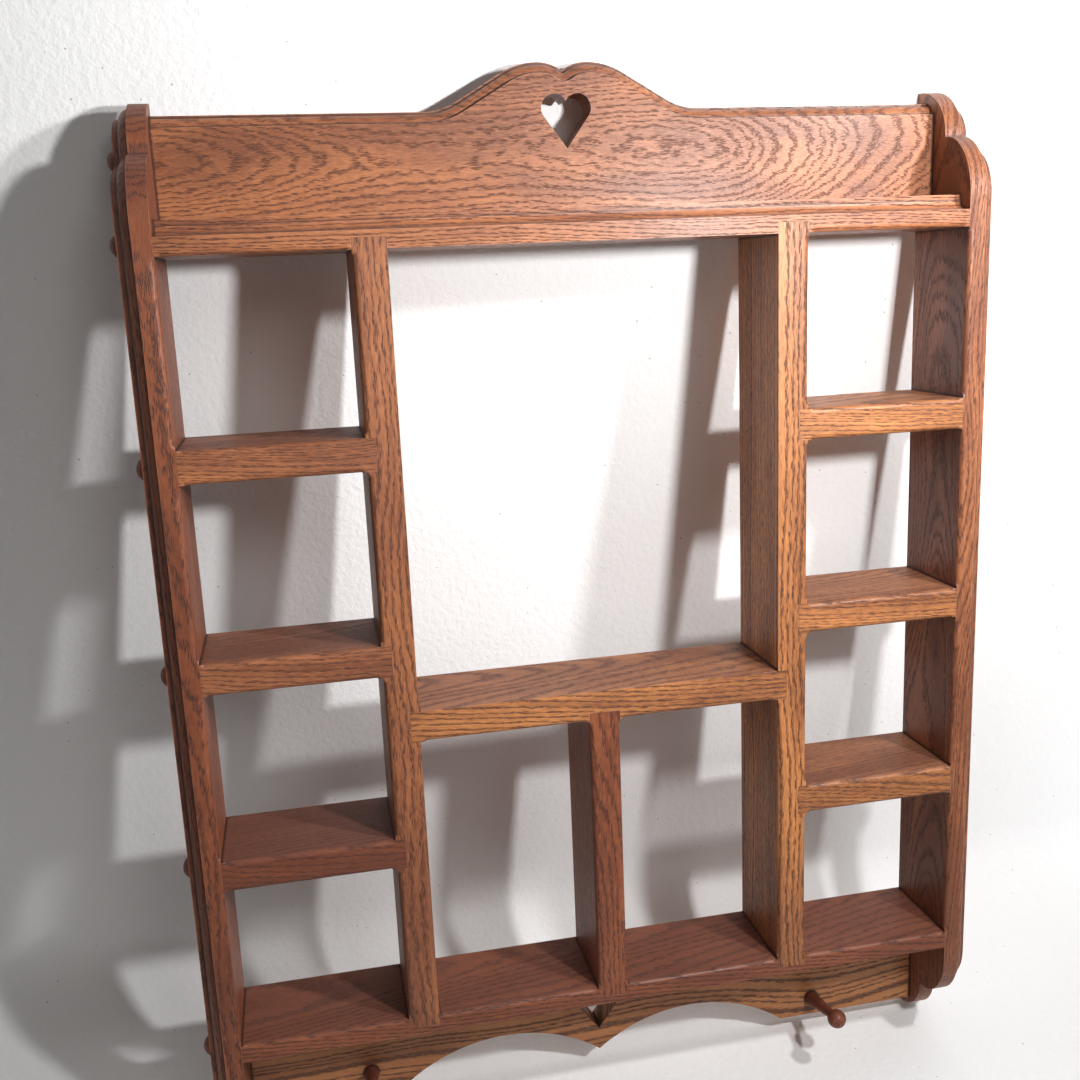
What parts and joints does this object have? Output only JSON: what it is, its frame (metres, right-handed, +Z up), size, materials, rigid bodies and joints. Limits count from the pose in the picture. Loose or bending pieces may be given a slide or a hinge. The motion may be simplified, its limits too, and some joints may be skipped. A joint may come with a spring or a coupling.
{
  "type": "shadow box shelf",
  "caption": "Wall-hung oak shadow box shelf with lobed side panels, heart cut-outs in a crest and an apron rail, square and tall bays, and two peg hooks.",
  "frame": {"origin": "on the back of the crest rail, midway between the two keyholes, at the height of the wall screws", "axes": "+X to the right as seen from the front, +Y into the wall, +Z up"},
  "size_m": [0.514, 0.0662, 0.6537],
  "materials": {
    "oak": "medium brown stain under a satin varnish, open grain",
    "turned_wood": "dark reddish brown stain, satin, turned",
    "screw_steel": "plain zinc-plated steel"
  },
  "bodies": {
    "root": {"side_panel_left": "oak", "side_panel_right": "oak", "crest_rail": "oak", "top_shelf": "oak", "bottom_shelf": "oak", "centre_shelf": "oak", "divider_left": "oak", "divider_right": "oak", "centre_divider": "oak", "left_shelf_upper": "oak", "left_shelf_middle": "oak", "left_shelf_lower": "oak", "right_shelf_upper": "oak", "right_shelf_middle": "oak", "right_shelf_lower": "oak", "apron_rail": "oak", "pegs": "turned_wood", "buttons_left": "turned_wood", "buttons_right": "turned_wood"}
  },
  "joints": []
}
